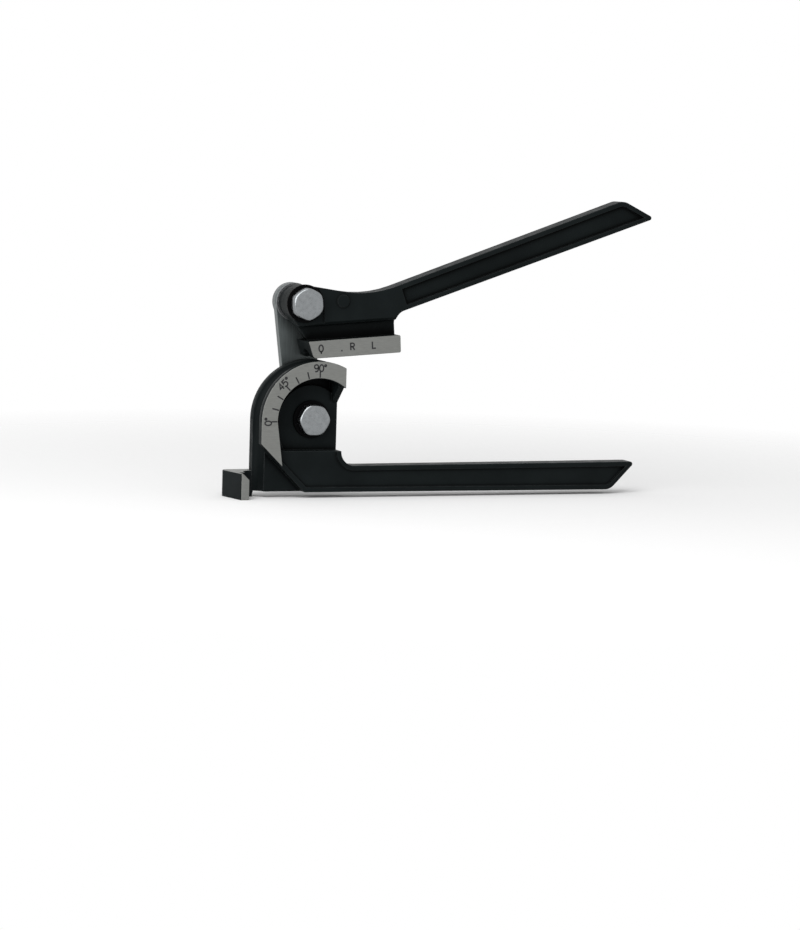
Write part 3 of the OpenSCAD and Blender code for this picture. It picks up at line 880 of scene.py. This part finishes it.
def nut_mesh(name, node, centre, turn, sizes):
    """Lock nut: a soft hexagon chamfered at both ends, and a collar with a rolled lip on its outer end.

    A chamfer's depth at each column is (radius - face radius) tan(slope), and the lip is a half circle.
    """
    low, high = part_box(node)
    side = hexagon(sizes.nut_width, sizes.nut_softness)
    edge = sizes.rounding
    face = sizes.nut_width / 2 * sizes.face_share
    bore = sizes.nut_bore / 2
    inside = face - sizes.collar_wall
    lip = sizes.collar_wall / 2
    roll = np.linspace(0, np.pi, LIP_ROWS)
    seat = low.y
    shoulder = seat + sizes.nut_height
    drop = (side - face) * math.tan(sizes.chamfer)
    foot = seat + drop
    crown = shoulder - drop
    radius, depth = profile_rows(
        (bore, seat + 2 * edge),
        (bore + 2 * edge, seat),
        (face - edge, seat),
        (face + edge / 2, seat + edge / 3),
        (side - edge / 2, foot - edge / 3),
        (side, foot + edge),
        (side, crown - edge),
        (side - edge / 2, crown + edge / 3),
        (face + edge, shoulder - edge / 2),
        (face, shoulder + edge),
        *[(face - lip + lip * math.cos(t), high.y - lip + lip * math.sin(t)) for t in roll],
        (inside, shoulder),
        (bore, shoulder),
    )
    return lathe_mesh(name, radius, depth, centre, turn, True)


def fit_fasteners(scene, node_end, piece_end, make_mesh):
    """Makes one zinc-plated fastener for each pivot, in place of the CAD node that holds its room."""
    for pivot, (centre, body, turn) in PIVOTS.items():
        node = pivot + node_end
        piece = make_mesh(pivot + piece_end, node, centre, turn, scene.bender_fasteners)
        piece.data.materials.append(zinc_finish(scene.bender_finishes, centre))
        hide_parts(node)
        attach(piece, body)


class BENDER_OT_castings(bpy.types.Operator):
    """Paint both castings, bare their ground faces and round their edges"""

    bl_idname = "bender.castings"
    bl_label = "Castings"

    def execute(self, context):
        finishes = context.scene.bender_finishes
        for node, (paint, shade_range) in CASTINGS.items():
            dress([node], casting_finish(paint, finishes, shade_range))
        round_edges(CASTINGS, finishes.edge_radius)
        return {"FINISHED"}


class BENDER_OT_link(bpy.types.Operator):
    """Finish the link bar in grey steel"""

    bl_idname = "bender.link"
    bl_label = "Link bar"

    def execute(self, context):
        finishes = context.scene.bender_finishes
        dress(["link_bar"], link_finish(finishes))
        round_edges(["link_bar"], finishes.small_edge)
        return {"FINISHED"}


class BENDER_OT_bolts(bpy.types.Operator):
    """Turn the two pivot bolts with their forged heads and threads, plated with zinc"""

    bl_idname = "bender.bolts"
    bl_label = "Bolts"

    def execute(self, context):
        fit_fasteners(context.scene, "_bolt", "_shoulder_bolt", bolt_mesh)
        return {"FINISHED"}


class BENDER_OT_lock_nuts(bpy.types.Operator):
    """Form the two lock nuts with their rolled collars, plated with zinc"""

    bl_idname = "bender.lock_nuts"
    bl_label = "Lock nuts"

    def execute(self, context):
        fit_fasteners(context.scene, "_lock_nut", "_collar_nut", nut_mesh)
        return {"FINISHED"}


class BENDER_OT_washers(bpy.types.Operator):
    """Finish the washers, spacers and nylon inserts"""

    bl_idname = "bender.washers"
    bl_label = "Washers and inserts"

    def execute(self, context):
        finishes = context.scene.bender_finishes
        dress(HEAD_WASHERS, oxide_finish(finishes))
        dress(SPACERS, dull_finish(finishes))
        dress(INSERTS, nylon_finish(finishes))
        round_edges(HEAD_WASHERS + SPACERS + INSERTS, finishes.small_edge)
        return {"FINISHED"}


class BENDER_OT_scale(bpy.types.Operator):
    """Mark the scale on the wheel's ground band: a tick for each step and a number at 0, 45 and 90"""

    bl_idname = "bender.scale"
    bl_label = "Scale"

    def execute(self, context):
        marks = context.scene.bender_marks
        centre = WHEEL_CENTRE[[0, 2]]
        strokes = []
        for step in range(TICKS):
            angle = math.pi - step * marks.tick_step
            out = np.array([math.cos(angle), math.sin(angle)])
            length = marks.plain_tick if step % LABEL_STEP else marks.numbered_tick
            radii = marks.band_radius + np.array([[marks.line / 2], [length]])
            strokes.append((centre + radii * out, False))
        for text, turn in SCALE_LABELS:
            angle = math.pi - math.radians(turn)
            out = np.array([math.cos(angle), math.sin(angle)])
            along = np.array([out[1], -out[0]])
            middle = centre + marks.digit_radius * out
            strokes += turned(label(text, marks.digit_height), middle, along, out)
        paint_marks(context.scene, "scale_marks", strokes, "forming_side")
        return {"FINISHED"}


class BENDER_OT_shoe_marks(bpy.types.Operator):
    """Mark the shoe's ground flange with its zero, a dot and the right-hand and left-hand marks"""

    bl_idname = "bender.shoe_marks"
    bl_label = "Shoe marks"

    def execute(self, context):
        marks = context.scene.bender_marks
        along = np.array([math.cos(marks.shoe_lift), math.sin(marks.shoe_lift)])
        up = np.array([-along[1], along[0]])
        places = {"Q": marks.shoe_zero, ".": marks.shoe_dot, "R": marks.shoe_right, "L": marks.shoe_left}
        strokes = []
        for text, run in places.items():
            middle = SHOE_PIVOT[[0, 2]] + run * along + marks.shoe_line * up
            strokes += turned(label(text, marks.shoe_height), middle, along, up)
        paint_marks(context.scene, "shoe_marks", strokes, "slide_side")
        return {"FINISHED"}


# Studio


def floor_finish(studio):
    """Pale matt floor that fades into the white backdrop with the distance from the object."""
    board = NodeBoard("floor_pale")
    board.set("Base Color", shade(studio.floor_colour, 1))
    board.set("Roughness", 0.9)
    board.set("Specular IOR Level", 0.0)
    across = board.add("ShaderNodeVectorMath", {"operation": "LENGTH"}, Vector=board.place()).outputs["Value"]
    fade = board.spread(across, 0, 1, studio.floor_radius * FADE_START, studio.floor_radius)
    clear = board.add("ShaderNodeBsdfTransparent")
    mix = board.add("ShaderNodeMixShader")
    board.plug(mix.inputs[0], fade)
    board.plug(mix.inputs[1], board.shader.outputs["BSDF"])
    board.plug(mix.inputs[2], clear.outputs["BSDF"])
    out = board.tree.nodes["Material Output"]
    board.plug(out.inputs["Surface"], mix.outputs["Shader"])
    return board.material


def make_floor(studio):
    """A disc: a ring of points about the object's middle on the floor level."""
    angle = np.linspace(0, 2 * math.pi, FLOOR_SIDES, endpoint=False)
    ring = np.column_stack([np.cos(angle), np.sin(angle), np.zeros(FLOOR_SIDES)]) * studio.floor_radius
    floor = new_object("floor", ring, [list(range(FLOOR_SIDES))])
    floor.location = (OBJECT_MIDDLE.x, OBJECT_MIDDLE.y, FLOOR_LEVEL)
    floor.data.materials.append(floor_finish(studio))


def make_backdrop(studio):
    """A world that is white to the camera, to gloss and to glass, and a plain ambient light otherwise."""
    world = bpy.data.worlds.new("studio")
    world.use_nodes = True
    tree = world.node_tree
    background = tree.nodes["Background"]
    background.inputs["Color"].default_value = (1, 1, 1, 1)
    paths = tree.nodes.new("ShaderNodeLightPath").outputs
    seen = paths["Is Camera Ray"]
    for ray in ("Is Glossy Ray", "Is Transmission Ray"):
        either = tree.nodes.new("ShaderNodeMath")
        either.operation = "MAXIMUM"
        tree.links.new(seen, either.inputs[0])
        tree.links.new(paths[ray], either.inputs[1])
        seen = either.outputs[0]
    strength = tree.nodes.new("ShaderNodeMapRange")
    strength.inputs["To Min"].default_value = studio.ambient
    strength.inputs["To Max"].default_value = 1.0
    tree.links.new(seen, strength.inputs["Value"])
    tree.links.new(strength.outputs["Result"], background.inputs["Strength"])
    bpy.context.scene.world = world


def soft_light(name, power, size, offset):
    """A square area light at an offset from the object's middle, to which it points."""
    data = bpy.data.lights.new(name, "AREA")
    data.energy = power
    data.size = size
    lamp = bpy.data.objects.new(name, data)
    lamp.location = OBJECT_MIDDLE + Vector(offset)
    lamp.rotation_euler = (-Vector(offset)).to_track_quat("-Z", "Y").to_euler()
    bpy.context.scene.collection.objects.link(lamp)


def make_camera(studio):
    """Camera on a sphere round its target, rolled about its line of sight."""
    az, el, roll = studio.azimuth, studio.elevation, studio.roll
    sight = Vector((-math.sin(az) * math.cos(el), math.cos(az) * math.cos(el), -math.sin(el)))
    right = sight.cross(Vector((0, 0, 1))).normalized()
    up = right.cross(sight)
    turn = Matrix.Rotation(-roll, 3, sight)
    right = turn @ right
    up = turn @ up
    data = bpy.data.cameras.new("camera")
    data.lens = studio.lens
    data.sensor_width = SENSOR_WIDTH
    camera = bpy.data.objects.new("camera", data)
    spin = Matrix((right, up, -sight)).transposed().to_4x4()
    camera.matrix_world = Matrix.Translation(Vector(studio.target) - sight * studio.distance) @ spin
    bpy.context.scene.collection.objects.link(camera)
    bpy.context.scene.camera = camera


class BENDER_OT_studio(bpy.types.Operator):
    """Set up the floor, the backdrop, the lights and the camera"""

    bl_idname = "bender.studio"
    bl_label = "Studio"

    def execute(self, context):
        studio = context.scene.bender_studio
        context.scene.view_settings.view_transform = "Standard"
        make_floor(studio)
        make_backdrop(studio)
        soft_light("key", studio.key_power, studio.key_size, studio.key_place)
        soft_light("fill", studio.fill_power, studio.fill_size, studio.fill_place)
        make_camera(studio)
        return {"FINISHED"}


class BENDER_PT_panel(bpy.types.Panel):
    """Lists the tube bender's pieces and their settings"""

    bl_idname = "BENDER_PT_panel"
    bl_label = "Tube bender"
    bl_space_type = "VIEW_3D"
    bl_region_type = "UI"
    bl_category = "Tube bender"

    def draw(self, context):
        column = self.layout.column()
        for operator in OPERATORS:
            column.operator(operator.bl_idname)
        for group in GROUPS:
            settings = getattr(context.scene, group)
            box = self.layout.box()
            for name in settings.__annotations__:
                box.prop(settings, name)


GROUPS = {
    "bender_finishes": BenderFinishes,
    "bender_marks": BenderMarks,
    "bender_fasteners": BenderFasteners,
    "bender_studio": BenderStudio,
}
OPERATORS = (
    BENDER_OT_castings,
    BENDER_OT_link,
    BENDER_OT_bolts,
    BENDER_OT_lock_nuts,
    BENDER_OT_washers,
    BENDER_OT_scale,
    BENDER_OT_shoe_marks,
    BENDER_OT_studio,
)


def register():
    for group in GROUPS.values():
        bpy.utils.register_class(group)
    for name, group in GROUPS.items():
        setattr(bpy.types.Scene, name, bpy.props.PointerProperty(type=group))
    for operator in OPERATORS:
        bpy.utils.register_class(operator)
    bpy.utils.register_class(BENDER_PT_panel)


def unregister():
    bpy.utils.unregister_class(BENDER_PT_panel)
    for operator in reversed(OPERATORS):
        bpy.utils.unregister_class(operator)
    for name, group in GROUPS.items():
        delattr(bpy.types.Scene, name)
        bpy.utils.unregister_class(group)


def main():
    register()
    bpy.ops.bender.castings()
    bpy.ops.bender.link()
    bpy.ops.bender.bolts()
    bpy.ops.bender.lock_nuts()
    bpy.ops.bender.washers()
    bpy.ops.bender.scale()
    bpy.ops.bender.shoe_marks()
    bpy.ops.bender.studio()


if __name__ == "__main__":
    main()
